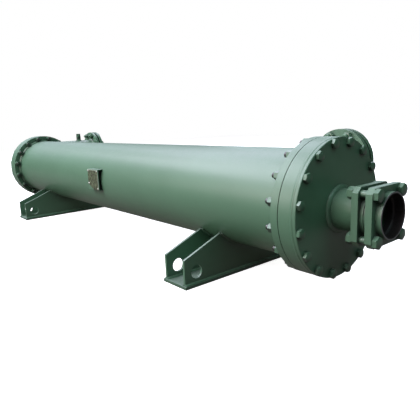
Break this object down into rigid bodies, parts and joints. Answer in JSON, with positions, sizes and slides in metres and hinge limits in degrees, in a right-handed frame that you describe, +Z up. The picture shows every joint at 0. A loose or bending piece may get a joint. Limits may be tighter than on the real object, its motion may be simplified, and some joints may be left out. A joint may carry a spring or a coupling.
{
  "type": "shell and tube heat exchanger",
  "caption": "Horizontal shell and tube heat exchanger with bolted flat heads, square-flange refrigerant connections and side water nozzles, standing on welded saddles.",
  "frame": {"origin": "middle of the front saddle's foot, on the ground", "axes": "+X along the shell towards the front head, +Y the way the water nozzles leave, +Z up"},
  "size_m": [2.604, 0.598, 0.463],
  "materials": {
    "paint": "semi-gloss",
    "gasket": "matte",
    "plate": "satin",
    "fitting": "semi-gloss"
  },
  "bodies": {
    "root": {"shell": "paint", "front_tube_sheet": "paint", "front_head_gasket": "gasket", "front_head_ring": "paint", "front_cover_plate": "paint", "front_neck": "paint", "front_inner_flange": "paint", "front_ring_gasket": "gasket", "front_outer_flange": "paint", "front_water_neck": "paint", "front_water_flange": "paint", "front_water_gasket": "gasket", "front_companion_flange": "paint", "front_saddle_foot": "paint", "front_saddle_outer_web": "paint", "front_saddle_inner_web": "paint", "rear_tube_sheet": "paint", "rear_head_gasket": "gasket", "rear_head_ring": "paint", "rear_cover_plate": "paint", "rear_neck": "paint", "rear_inner_flange": "paint", "rear_ring_gasket": "gasket", "rear_outer_flange": "paint", "rear_water_neck": "paint", "rear_water_flange": "paint", "rear_water_gasket": "gasket", "rear_companion_flange": "paint", "rear_saddle_foot": "paint", "rear_saddle_outer_web": "paint", "rear_saddle_inner_web": "paint", "vent_socket": "fitting", "vent_plug": "fitting", "plate_bracket": "paint", "rating_plate": "plate"}
  },
  "joints": []
}
